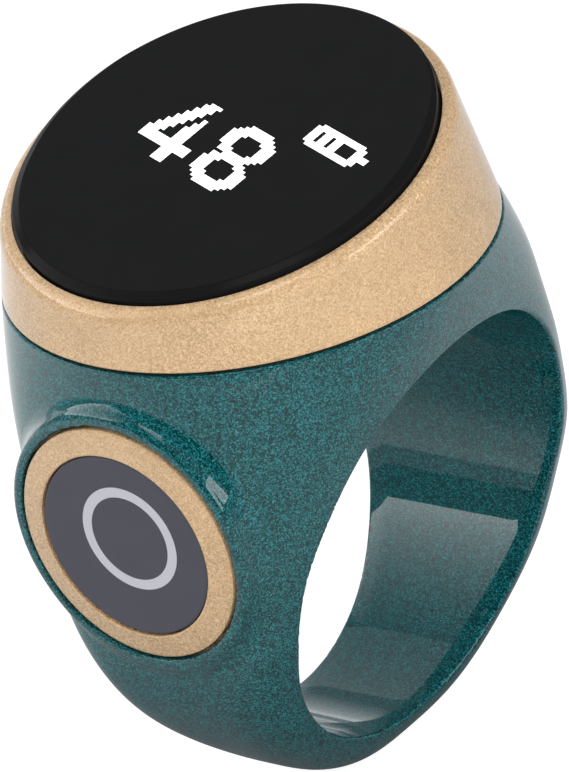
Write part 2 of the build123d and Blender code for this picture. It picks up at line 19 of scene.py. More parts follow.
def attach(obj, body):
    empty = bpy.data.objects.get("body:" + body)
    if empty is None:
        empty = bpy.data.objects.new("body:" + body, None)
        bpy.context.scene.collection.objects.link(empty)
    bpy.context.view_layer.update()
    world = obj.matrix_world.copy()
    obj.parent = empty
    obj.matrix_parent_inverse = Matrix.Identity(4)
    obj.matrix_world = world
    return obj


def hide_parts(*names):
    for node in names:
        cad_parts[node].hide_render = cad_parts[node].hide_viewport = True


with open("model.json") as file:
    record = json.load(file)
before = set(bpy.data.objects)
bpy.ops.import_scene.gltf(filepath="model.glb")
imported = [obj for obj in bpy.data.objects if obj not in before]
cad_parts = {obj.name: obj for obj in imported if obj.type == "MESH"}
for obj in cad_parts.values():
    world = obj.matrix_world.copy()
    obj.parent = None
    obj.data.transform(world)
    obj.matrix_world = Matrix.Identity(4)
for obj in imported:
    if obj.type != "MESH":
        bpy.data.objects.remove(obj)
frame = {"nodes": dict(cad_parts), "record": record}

MM = 0.001
TINY = 1e-6
SMOOTH_ANGLE = 32.0  # degrees; a sharper edge keeps its crease
ARC = 0.3  # how far a rounding's middle lies from both of its sides, as a share of its radius
LOG = logging.getLogger("tasbih_ring")
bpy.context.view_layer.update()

Colour = tuple[float, float, float]
Piece = bpy.types.Object
Values = np.ndarray
Form = Callable[[Values], Values]
Lit = Callable[[float, float], bool]
Loop = Callable[[float], Vector]
Socket = bpy.types.NodeSocket


class Body(Enum):
    """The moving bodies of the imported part."""

    RING = "ring"
    BUTTON = "button"


class Slot(Enum):
    """Names of material slots, one for each kind of new piece."""

    BODY_PAINT = "body_paint"
    GOLD_SATIN = "gold_satin"
    WINDOW_GLASS = "window_glass"
    BLACK_GLOSS = "black_gloss"
    WHITE_INK = "ivory_plastic"


class NodeSheet:
    """Adds and joins the nodes of one tree."""

    def __init__(self, tree: bpy.types.NodeTree) -> None:
        """Takes the tree that gets the nodes."""
        self.tree = tree

    def feed(self, target: Socket, value: object) -> None:
        """Gives an input a link or a constant value.

        Args:
            target: The input.
            value: The socket it reads, or its value; a colour gets an alpha of 1.
        """
        if isinstance(value, Socket):
            self.tree.links.new(value, target)
        else:
            target.default_value = (*value, 1.0) if target.type == "RGBA" else value

    def add(self, kind: str, inputs: Optional[dict] = None, **settings: object) -> bpy.types.Node:
        """Adds a node.

        Args:
            kind: Blender's name for the node.
            inputs: What the node's inputs get, by their name or place.
            settings: The node's properties.

        Returns:
            The node.
        """
        node = self.tree.nodes.new(kind)
        for name, value in settings.items():
            setattr(node, name, value)
        for key, value in (inputs or {}).items():
            self.feed(node.inputs[key], value)
        return node

    def math(self, operation: str, first: object, second: object) -> Socket:
        """Returns the result of one of Blender's sums on two sockets or numbers."""
        return self.add("ShaderNodeMath", {0: first, 1: second}, operation=operation).outputs[0]

    def span(
        self, source: Socket, low: float, high: float, zone: Sequence[float] = (0.0, 1.0), soft: bool = False
    ) -> Socket:
        """Stretches a value over a new span.

        Args:
            source: The value to read.
            low: The result where the zone starts.
            high: The result where the zone ends.
            zone: The two values that the zone lies between.
            soft: Whether the result eases in and out.

        Returns:
            The value socket.
        """
        inputs = {"Value": source, "From Min": zone[0], "From Max": zone[1], "To Min": low, "To Max": high}
        kind = "SMOOTHSTEP" if soft else "LINEAR"
        return self.add("ShaderNodeMapRange", inputs, interpolation_type=kind).outputs["Result"]

    def choose(self, share: Socket, first: object, second: object) -> Socket:
        """Returns a mix of two numbers or value sockets, by the share of the second."""
        return self.add("ShaderNodeMix", {"Factor": share, "A": first, "B": second}).outputs["Result"]

    def mix(self, share: object, first: object, second: object, blend: str = "MIX") -> Socket:
        """Returns a mix of two colours or colour sockets, on the node's own places for colours."""
        inputs = {0: share, 6: first, 7: second}
        return self.add("ShaderNodeMix", inputs, data_type="RGBA", blend_type=blend).outputs[2]


class NodeBook(NodeSheet):
    """Builds one material's nodes around a Principled shader."""

    def __init__(self, name: str) -> None:
        """Starts a material of this name."""
        self.material = bpy.data.materials.new(name)
        self.material.use_nodes = True
        super().__init__(self.material.node_tree)
        self.tree.nodes.clear()
        self.shader = self.add("ShaderNodeBsdfPrincipled")
        self.add("ShaderNodeOutputMaterial", {"Surface": self.shader.outputs["BSDF"]})
        self.coords = self.add("ShaderNodeTexCoord").outputs["Object"]

    def set(self, **values: object) -> None:
        """Gives the shader's own sockets, named with underscores for spaces, links or constants."""
        for name, value in values.items():
            self.feed(self.shader.inputs[name.replace("_", " ")], value)

    def cells(self, size: float) -> bpy.types.Node:
        """Returns a pattern of irregular cells of this width, in millimetres."""
        inputs = {"Vector": self.coords, "Scale": 1 / (size * MM), "Randomness": 1.0}
        return self.add("ShaderNodeTexVoronoi", inputs)

    def noise(self, size: float, detail: float = 2.0) -> Socket:
        """Returns a pattern of soft clouds of this width, in millimetres, and with finer layers."""
        inputs = {"Vector": self.coords, "Scale": 1 / (size * MM), "Detail": detail}
        return self.add("ShaderNodeTexNoise", inputs).outputs["Fac"]

    def ramp(self, source: Socket, places: Sequence[float], colours: Sequence[Colour]) -> Socket:
        """Turns a value into a colour.

        Args:
            source: The value to read.
            places: Values from 0 to 1.
            colours: The colours there.

        Returns:
            The colour socket.
        """
        node = self.add("ShaderNodeValToRGB", {"Fac": source})
        elements = node.color_ramp.elements
        while len(elements) < len(places):
            elements.new(0.5)
        for element, place, colour in zip(elements, places, colours):
            element.position = place
            element.color = (*colour, 1.0)
        return node.outputs["Color"]

    def bump(self, height: Socket, depth: float) -> None:
        """Roughens the shader's surface by a pattern, to a depth in millimetres."""
        inputs = {"Height": height, "Distance": depth * MM, "Strength": 1.0}
        self.set(Normal=self.add("ShaderNodeBump", inputs).outputs["Normal"])

    def tilt(self, directions: Socket, amount: float) -> None:
        """Leans the surface under the coat from place to place.

        Args:
            directions: A pattern of colours that give the directions.
            amount: How far the surface leans.
        """
        kind = "ShaderNodeVectorMath"
        surface = self.add("ShaderNodeNewGeometry").outputs["Normal"]
        inputs = {0: directions, 1: (amount,) * 3, 2: (-amount / 2,) * 3}
        lean = self.add(kind, inputs, operation="MULTIPLY_ADD").outputs["Vector"]
        joined = self.add(kind, {0: surface, 1: lean}, operation="ADD").outputs["Vector"]
        self.set(Normal=self.add(kind, {0: joined}, operation="NORMALIZE").outputs["Vector"])


def grey(level: float) -> Colour:
    """Returns the grey of a level."""
    return (level, level, level)


@dataclass(frozen=True)
class FlakeLacquer:
    """Coloured lacquer with metal flakes under a clear coat."""

    name: str
    deep: Colour
    middle: Colour
    flake: Colour
    flake_size: float
    metallic: float
    roughness: float
    coat_roughness: float
    flake_tilt: float
    coat_ior: float = 1.55
    roughness_play: float = 0.08
    cloud_flakes: float = 40.0
    cloud_shade: float = 0.9
    cloud_zone: tuple = (0.3, 0.7)
    flake_zone: tuple = (0.0, 0.5, 1.0)

    def build(self) -> bpy.types.Material:
        """Returns the material."""
        book = NodeBook(self.name)
        cells = book.cells(self.flake_size).outputs["Color"]
        tone = book.add("ShaderNodeSeparateColor", {"Color": cells}).outputs
        flakes = book.ramp(tone["Red"], self.flake_zone, (self.deep, self.middle, self.flake))
        clouds = book.noise(self.flake_size * self.cloud_flakes)
        shade = book.ramp(clouds, self.cloud_zone, (grey(self.cloud_shade), grey(1.0)))
        smooth, rough = self.roughness - self.roughness_play, self.roughness + self.roughness_play
        book.set(Base_Color=book.mix(1.0, flakes, shade, "MULTIPLY"))
        book.set(Roughness=book.span(tone["Green"], smooth, rough))
        book.set(Metallic=self.metallic, Specular_IOR_Level=0.0)
        book.set(Coat_Weight=1.0, Coat_Roughness=self.coat_roughness, Coat_IOR=self.coat_ior)
        book.tilt(cells, self.flake_tilt)
        return book.material


@dataclass(frozen=True)
class DarkGlass:
    """Black polished glass or gloss plastic with faint dust."""

    name: str
    base: Colour
    dust: Colour
    roughness: float
    specular: float
    ior: float = 1.5
    haze_size: float = 1.8
    haze_detail: float = 3.0
    haze_gain: float = 1.08
    haze_zone: tuple = (0.35, 0.75)

    def build(self) -> bpy.types.Material:
        """Returns the material."""
        book = NodeBook(self.name)
        haze = book.noise(self.haze_size, self.haze_detail)
        book.set(Base_Color=book.ramp(haze, self.haze_zone, (self.base, self.dust)))
        book.set(Roughness=book.span(haze, self.roughness, self.roughness * self.haze_gain))
        book.set(Specular_IOR_Level=self.specular, IOR=self.ior)
        return book.material


@dataclass(frozen=True)
class WhiteLight:
    """Lit display dots or white ink, a little uneven from dot to dot."""

    name: str
    colour: Colour
    glow: float
    dot: float
    dimmest: float = 0.94
    roughness: float = 0.5
    specular: float = 0.2

    def build(self) -> bpy.types.Material:
        """Returns the material."""
        book = NodeBook(self.name)
        tone = book.span(book.cells(self.dot).outputs["Distance"], 1.0, self.dimmest)
        tint = book.mix(1.0, self.colour, tone, "MULTIPLY")
        book.set(Base_Color=tint, Emission_Color=tint, Emission_Strength=self.glow)
        book.set(Roughness=self.roughness, Specular_IOR_Level=self.specular)
        return book.material


@dataclass(frozen=True)
class GrainFinish:
    """A plain technical finish with grain, for the parts inside."""

    slot: str
    dark: Colour
    light: Colour
    roughness: float
    metallic: float = 0.0
    grain: float = 0.25
    relief: float = 0.004
    transmission: float = 0.0
    detail: float = 4.0
    smoothest: float = 0.8
    roughest: float = 1.2
    grain_zone: tuple = (0.35, 0.65)

    def build(self) -> bpy.types.Material:
        """Returns the material."""
        book = NodeBook(self.slot)
        clouds = book.noise(self.grain, self.detail)
        smooth, rough = self.roughness * self.smoothest, min(1.0, self.roughness * self.roughest)
        book.set(Base_Color=book.ramp(clouds, self.grain_zone, (self.dark, self.light)))
        book.set(Roughness=book.span(clouds, smooth, rough))
        book.set(Metallic=self.metallic, Transmission_Weight=self.transmission)
        book.bump(clouds, self.relief)
        return book.material


TEAL_LACQUER = FlakeLacquer(
    "teal_lacquer", deep=(0.0003, 0.028, 0.031), middle=(0.002, 0.092, 0.099), flake=(0.036, 0.3, 0.318),
    flake_size=0.056, metallic=0.4, roughness=0.38, coat_roughness=0.02, flake_tilt=1.0,
)
GOLD_LACQUER = FlakeLacquer(
    "gold_lacquer", deep=(0.68, 0.43, 0.215), middle=(0.82, 0.53, 0.275), flake=(0.95, 0.68, 0.4),
    flake_size=0.06, metallic=0.3, roughness=0.42, coat_roughness=0.05, flake_tilt=0.6,
)
WINDOW_BLACK = DarkGlass("window_black", grey(0.0088), grey(0.0098), roughness=0.16, specular=0.05)
# the black disc's base colour is lifted to a lavender grey: a painted reflection of the bright surroundings
# on black gloss
DISC_BLACK_PAINTED_SHEEN = DarkGlass(
    "disc_black_painted_sheen", (0.088, 0.085, 0.107), (0.094, 0.091, 0.113), roughness=0.12, specular=0.2
)
SIGN_LIGHT = WhiteLight("sign_light", grey(1.0), glow=1.0, dot=0.2)
MARK_INK = WhiteLight("mark_ink", (0.72, 0.71, 0.74), glow=0.0, dot=0.15)

INNER_FINISHES = (
    GrainFinish("black_rubber", (0.008, 0.006, 0.005), (0.016, 0.014, 0.012), 0.7, relief=0.002),
    GrainFinish("clear_adhesive", (0.78, 0.8, 0.8), (0.84, 0.86, 0.86), 0.1, transmission=0.9),
    GrainFinish("panel_glass", (0.025, 0.03, 0.035), (0.035, 0.04, 0.045), 0.08, relief=0.0),
    GrainFinish("black_plastic", grey(0.022), grey(0.036), 0.5),
    GrainFinish("flex_amber", (0.48, 0.22, 0.04), (0.6, 0.32, 0.08), 0.3, grain=0.5),
    GrainFinish("ivory_plastic", (0.68, 0.64, 0.55), (0.78, 0.74, 0.66), 0.45),
    GrainFinish("board_green", (0.012, 0.12, 0.05), (0.025, 0.19, 0.085), 0.35, grain=0.6),
    GrainFinish("chip_black", (0.018, 0.018, 0.02), (0.032, 0.032, 0.035), 0.55, grain=0.12),
    GrainFinish("ceramic_tan", (0.42, 0.31, 0.2), (0.56, 0.43, 0.3), 0.5, grain=0.12),
    GrainFinish("steel", grey(0.5), grey(0.66), 0.32, 1.0, grain=0.12),
    GrainFinish("cell_foil", (0.54, 0.55, 0.57), (0.68, 0.69, 0.71), 0.38, 0.9, grain=0.5),
    GrainFinish("grey_foam", grey(0.08), grey(0.16), 0.9, grain=0.15, relief=0.02),
    GrainFinish("contact_gold", (0.66, 0.45, 0.17), (0.78, 0.58, 0.27), 0.22, 1.0, grain=0.15),
    GrainFinish("weight_metal", (0.2, 0.2, 0.21), (0.28, 0.28, 0.29), 0.45, 1.0, grain=0.12),
)


class Workbench:
    """The modelling steps that the pieces share."""

    @staticmethod
    def clear_selection() -> None:
        """Leaves edit mode and deselects everything."""
        if bpy.context.object and bpy.context.object.mode != "OBJECT":
            bpy.ops.object.mode_set(mode="OBJECT")
        bpy.ops.object.select_all(action="DESELECT")

    @staticmethod
    def adopt(name: str) -> Piece:
        """Names the active object and its mesh, and returns it."""
        piece = bpy.context.object
        piece.name = name
        piece.data.name = name
        return piece

    @staticmethod
    def apply(piece: Piece, kind: str, **settings: object) -> None:
        """Adds a modifier to the active piece and applies it.

        Args:
            piece: The piece, which is active.
            kind: Blender's name for the modifier.
            settings: The modifier's properties.
        """
        modifier = piece.modifiers.new(kind.lower(), kind)
        for name, value in settings.items():
            setattr(modifier, name, value)
        bpy.ops.object.modifier_apply(modifier=modifier.name)

    @staticmethod
    def hoops(name: str, loops: Sequence[Loop], segments: int, closed: bool) -> Piece:
        """Builds a piece from hoops that are extruded one out of another.

        Args:
            name: The piece's name.
            loops: For each hoop, its points in millimetres by the turn round it.
            segments: How many points a hoop has.
            closed: Whether the last hoop joins the first; otherwise both ends are filled.

        Returns:
            The piece.
        """
        Workbench.clear_selection()
        bpy.ops.mesh.primitive_circle_add(vertices=segments, radius=MM)
        piece = Workbench.adopt(name)
        turns = [atan2(vertex.co.y, vertex.co.x) for vertex in piece.data.vertices]
        bpy.ops.object.mode_set(mode="EDIT")
        bpy.ops.mesh.select_all(action="SELECT")
        for index, loop in enumerate(loops):
            if index:
                bpy.ops.mesh.extrude_edges_move()
            shape = bmesh.from_edit_mesh(piece.data)
            shape.verts.ensure_lookup_table()
            for turn, vertex in zip(turns, shape.verts[index * segments:]):
                vertex.co = loop(turn) * MM
            bmesh.update_edit_mesh(piece.data)
        Workbench.select_ends(piece, segments)
        if closed:
            bpy.ops.mesh.bridge_edge_loops()
        else:
            bpy.ops.mesh.edge_face_add()
        bpy.ops.mesh.select_all(action="SELECT")
        bpy.ops.mesh.normals_make_consistent(inside=False)
        bpy.ops.object.mode_set(mode="OBJECT")
        bpy.ops.object.shade_smooth_by_angle(angle=radians(SMOOTH_ANGLE))
        return piece

    @staticmethod
    def select_ends(piece: Piece, segments: int) -> None:
        """Selects the first and the last hoop of a piece in edit mode."""
        shape = bmesh.from_edit_mesh(piece.data)
        shape.verts.ensure_lookup_table()
        ends = {*shape.verts[:segments], *shape.verts[-segments:]}
        for edge in shape.edges:
            edge.select_set(edge.is_boundary and set(edge.verts) <= ends)
        bmesh.update_edit_mesh(piece.data)

    @staticmethod
    def finish(piece: Piece, material: bpy.types.Material, body: Body, slot: Slot, *nodes: str) -> None:
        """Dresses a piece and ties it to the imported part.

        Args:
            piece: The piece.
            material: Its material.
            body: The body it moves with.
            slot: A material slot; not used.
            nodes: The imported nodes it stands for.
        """
        piece.data.materials.clear()
        piece.data.materials.append(material)
        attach(piece, body.value)
        if nodes:
            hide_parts(*nodes)
        LOG.info("%s: %d faces on %s", piece.name, len(piece.data.polygons), body.value)


def round_both(first: Values, second: Values, radius: float) -> Values:
    """Returns distances to what two forms share, with a rounded edge; they are negative inside."""
    corner = np.hypot(np.maximum(radius + first, 0), np.maximum(radius + second, 0))
    return np.minimum(-radius, np.maximum(first, second)) + corner


def round_either(first: Values, second: Values, radius: float) -> Values:
    """Returns distances to two forms together, with a rounded crease."""
    corner = np.hypot(np.maximum(radius - first, 0), np.maximum(radius - second, 0))
    return np.maximum(radius, np.minimum(first, second)) - corner


def natural_curve(knots: Values, values: Values, places: Values) -> Values:
    """Runs a natural cubic curve through values.

    Args:
        knots: Rising places of the values.
        values: The values there.
        places: Where the curve is read.

    Returns:
        The curve's values.
    """
    count = len(knots)
    step = np.diff(knots)
    slope = np.diff(values) / step
    system = np.eye(count)
    right = np.zeros(count)
    for row in range(1, count - 1):
        system[row, row - 1:row + 2] = step[row - 1], 2 * (step[row - 1] + step[row]), step[row]
        right[row] = 6 * (slope[row] - slope[row - 1])
    bend = np.linalg.solve(system, right)
    cell = np.clip(np.searchsorted(knots, places) - 1, 0, count - 2)
    width = step[cell]
    low = (knots[cell + 1] - places) / width
    high = (places - knots[cell]) / width
    curve = low * values[cell] + high * values[cell + 1]
    return curve + ((low**3 - low) * bend[cell] + (high**3 - high) * bend[cell + 1]) * width**2 / 6


@dataclass
class BodyShell:
    """The lacquered ring: shank, shoulders, head and the collar round the button.

    The rows of shares are level sections: a height or a turn below the bore's centre in degrees, then
    the width, the reach to the back and to the front, and how square the corners are.
    """

    bore: float = 10.0
    under: float = 12.26
    back: float = 12.2
    front: float = 12.3
    half_width: float = 6.78
    parting: float = 13.57
    head_radius: float = 11.3
    head_back: float = 10.43
    head_front: float = 12.17
    button_height: float = 5.16
    pocket: float = 5.85
    groove_top: float = 11.95
    collar: float = 6.4
    collar_face: float = 12.8
    rim_round: float = 0.22
    flare_rise: float = 0.08
    flare_length: float = 1.35
    flare_most: float = 1.2
    collar_round: float = 0.3
    collar_blend: float = 0.85
    pocket_round: float = 0.08
    parting_round: float = 0.08
    weld: float = 0.001
    voxel: float = 0.218
    reach: float = 0.3
    side_reach: float = 0.6
    rim_reach: float = 1.1
    collar_reach: float = 0.7
    least_facing: float = 0.3
    least_slope: float = 0.25
    fine_rim: float = 0.5
    fine_collar: float = 0.8
    fine_pocket: float = 0.05
    fine_parting: float = 0.25
    steps: int = 7
    nudge: float = 0.001
    lowest: float = 0.9995
    table_size: int = 1500
    table_lead: float = 0.1
    shoulder_shares: tuple = (
        (1.0, 1.0, 0.0, 1.0, 2.0),
        (0.8, 0.78, 0.29, 0.3, 2.6),
        (0.6, 0.57, 0.43, 0.1, 3.4),
        (0.4, 0.41, 0.63, 0.0, 4.15),
        (0.2, 0.19, 0.84, 0.0, 5.3),
        (0.0, 0.0, 1.0, 0.0, 6.2),
    )
    shank_shares: tuple = (
        (16, 0.86, 1.01, 1.01, 6.0),
        (32, 0.825, 1.01, 0.98, 5.1),
        (48, 0.845, 0.99, 0.93, 3.9),
        (63, 0.94, 0.98, 0.92, 3.2),
        (76, 1.01, 0.98, 0.92, 2.9),
        (86, 1.04, 0.97, 0.93, 2.5),
    )

    def __post_init__(self) -> None:
        """Tabulates the level sections from the parting line to the underside."""
        knots, rows = [], []
        for height, width, back, front, corner in self.shoulder_shares:
            knots.append(-self.parting * height / self.under)
            half = self.half_width + (self.head_radius - self.half_width) * width
            behind = self.head_back + (self.back - self.head_back) * back
            ahead = self.front + (self.head_front - self.front) * front
            rows.append((half, behind, ahead, corner))
        for turn, width, back, front, corner in self.shank_shares:
            knots.append(radians(turn))
            rows.append((self.half_width * width, self.back * back, self.front * front, corner))
        self.places = np.linspace(knots[0] - self.table_lead, pi / 2, self.table_size)
        columns = np.array(rows).T
        self.curves = [natural_curve(np.array(knots), column, self.places) for column in columns]

    def section_form(self, points: Values) -> Values:
        """Says how far points are outside the lofted form, as a share of its size.

        Args:
            points: Points in millimetres, one per row.

        Returns:
            A number per point, negative inside.
        """
        drop = -points[:, 2] / self.under
        turn = np.where(drop > 0, np.arcsin(np.clip(drop, 0, self.lowest)), drop)
        half, behind, ahead, corner = (np.interp(turn, self.places, curve) for curve in self.curves)
        level = np.where(turn > 0, np.cos(np.maximum(turn, 0)), 1.0)
        across = np.abs(points[:, 0]) / (half * level)
        middle = (behind - ahead) / 2 * level
        along = np.abs(points[:, 1] - middle) / ((behind + ahead) / 2 * level)
        return (across**corner + along**corner) ** (1 / corner) - 1

    def slopes(self, form: Form, points: Values) -> tuple[Values, Values]:
        """Measures a form and its gradient.

        Args:
            form: The function to measure.
            points: Points in millimetres.

        Returns:
            The form's values and its gradients.
        """
        here = form(points)
        gradient = np.empty_like(points)
        for axis in range(3):
            shifted = points.copy()
            shifted[:, axis] += self.nudge
            gradient[:, axis] = (form(shifted) - here) / self.nudge
        return here, gradient

    def from_loft(self, points: Values) -> Values:
        """Returns the distances of points from the lofted form, negative inside."""
        share, gradient = self.slopes(self.section_form, points)
        return share / np.maximum(np.linalg.norm(gradient, axis=1), TINY)

    def from_bore(self, points: Values) -> Values:
        """Returns the distances of points from the bore's axis."""
        return np.hypot(points[:, 1], points[:, 2])

    def from_button(self, points: Values) -> Values:
        """Returns the distances of points from the button's axis."""
        return np.hypot(points[:, 0], points[:, 2] - self.button_height)

    def distance(self, points: Values) -> Values:
        """Measures how far points are from the finished skin of the ring.

        Args:
            points: Points in millimetres.

        Returns:
            Distances in millimetres, negative inside.
        """
        form = self.from_loft(points)
        from_button = self.from_button(points)
        out = -points[:, 1]
        collar = round_both(from_button - self.collar, out - self.collar_face, self.collar_round)
        skin = round_either(form, np.where(out > 0, collar, self.collar), self.collar_blend)
        skin = round_both(skin, points[:, 2] - self.parting, self.parting_round)
        flare = self.flare_rise * np.clip(1 + form / self.flare_length, 0, self.flare_most) ** 2
        skin = round_both(skin, self.bore + flare - self.from_bore(points), self.rim_round)
        pocket = round_both(skin, self.pocket - from_button, self.pocket_round)
        return np.where(out > self.groove_top, pocket, skin)

    def reaches(self, points: Values) -> Values:
        """Says how far from the skin a point may lie and still be moved onto it.

        Args:
            points: Points in millimetres.

        Returns:
            A distance per point.
        """
        near_bore = np.abs(self.from_bore(points) - self.bore) < self.rim_reach
        below = points[:, 2] < self.parting - self.rim_reach
        from_button = self.from_button(points)
        beside = (points[:, 1] > 0) | (from_button > self.collar - self.collar_round)
        near_collar = from_button < self.collar + 2 * self.collar_reach
        near_collar &= beside & (points[:, 1] < -self.bore / 2)
        wide = np.where(near_collar, self.collar_reach, self.side_reach)
        reach = np.where(below & beside, wide, self.reach)
        return np.where(below & near_bore, self.rim_reach, reach)

    def settle(self, piece: Piece) -> tuple[Values, Values]:
        """Moves the outer points of the shell onto its exact skin.

        Args:
            piece: The shell.

        Returns:
            Which points moved, and the skin's directions there.
        """
        mesh = piece.data
        flat = np.empty(len(mesh.vertices) * 3)
        mesh.vertices.foreach_get("co", flat)
        points = flat.reshape(-1, 3) / MM
        mesh.vertices.foreach_get("normal", flat)
        faces = flat.reshape(-1, 3).copy()
        gap, gradient = self.slopes(self.distance, points)
        facing = np.einsum("ij,ij->i", faces, gradient)
        moved = (np.abs(gap) < self.reaches(points)) & (facing > self.least_facing)
        skin = points[moved]
        for _ in range(self.steps):
            gap, gradient = self.slopes(self.distance, skin)
            length = np.maximum(np.einsum("ij,ij->i", gradient, gradient), self.least_slope)
            skin -= np.clip(gap / length, -self.rim_reach, self.rim_reach)[:, None] * gradient
        points[moved] = skin
        mesh.vertices.foreach_set("co", (points * MM).ravel())
        mesh.update()
        return moved, gradient

    def near_edges(self, centres: Values) -> Values:
        """Finds the places near the bore's rims, the collar and the parting line.

        Args:
            centres: Face centres in millimetres.

        Returns:
            True for each place that needs finer faces.
        """
        form = np.abs(self.from_loft(centres))
        from_button = self.from_button(centres)
        rim = (np.abs(self.from_bore(centres) - self.bore) < self.fine_rim) & (form < self.fine_rim)
        collar = from_button > self.pocket - self.fine_pocket
        collar &= from_button < self.collar + self.fine_collar
        collar &= -centres[:, 1] > self.groove_top
        edge = (form < self.fine_parting) & (centres[:, 2] > self.parting - self.fine_parting)
        return rim | collar | edge

    def refine(self, piece: Piece) -> None:
        """Halves the shell's faces near its edges.

        Args:
            piece: The shell.
        """
        flat = np.empty(len(piece.data.polygons) * 3)
        piece.data.polygons.foreach_get("center", flat)
        fine = self.near_edges(flat.reshape(-1, 3) / MM)
        bpy.ops.object.mode_set(mode="EDIT")
        bpy.ops.mesh.select_mode(type="FACE")
        bpy.ops.mesh.select_all(action="DESELECT")
        bpy.ops.object.mode_set(mode="OBJECT")
        piece.data.polygons.foreach_set("select", fine)
        bpy.ops.object.mode_set(mode="EDIT")
        bpy.ops.mesh.subdivide(number_cuts=1)
        bpy.ops.object.mode_set(mode="OBJECT")

    def build(self) -> None:
        """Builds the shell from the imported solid's copy, remeshed evenly and settled on its exact skin."""
        Workbench.clear_selection()
        piece = bpy.data.objects.new("body_shell", frame["nodes"]["ring_body"].data.copy())
        bpy.context.collection.objects.link(piece)
        piece.select_set(True)
        bpy.context.view_layer.objects.active = piece
        Workbench.adopt("body_shell")
        Workbench.apply(piece, "WELD", merge_threshold=self.weld * MM)
        Workbench.apply(piece, "REMESH", mode="VOXEL", voxel_size=self.voxel * MM, adaptivity=0.0)
        self.settle(piece)
        self.refine(piece)
        moved, gradient = self.settle(piece)
        bpy.ops.object.shade_smooth()
        normals = np.zeros((len(piece.data.vertices), 3))
        normals[moved] = gradient / np.linalg.norm(gradient, axis=1, keepdims=True)
        piece.data.normals_split_custom_set_from_vertices(normals.tolist())
        Workbench.finish(piece, TEAL_LACQUER.build(), Body.RING, Slot.BODY_PAINT, "ring_body")


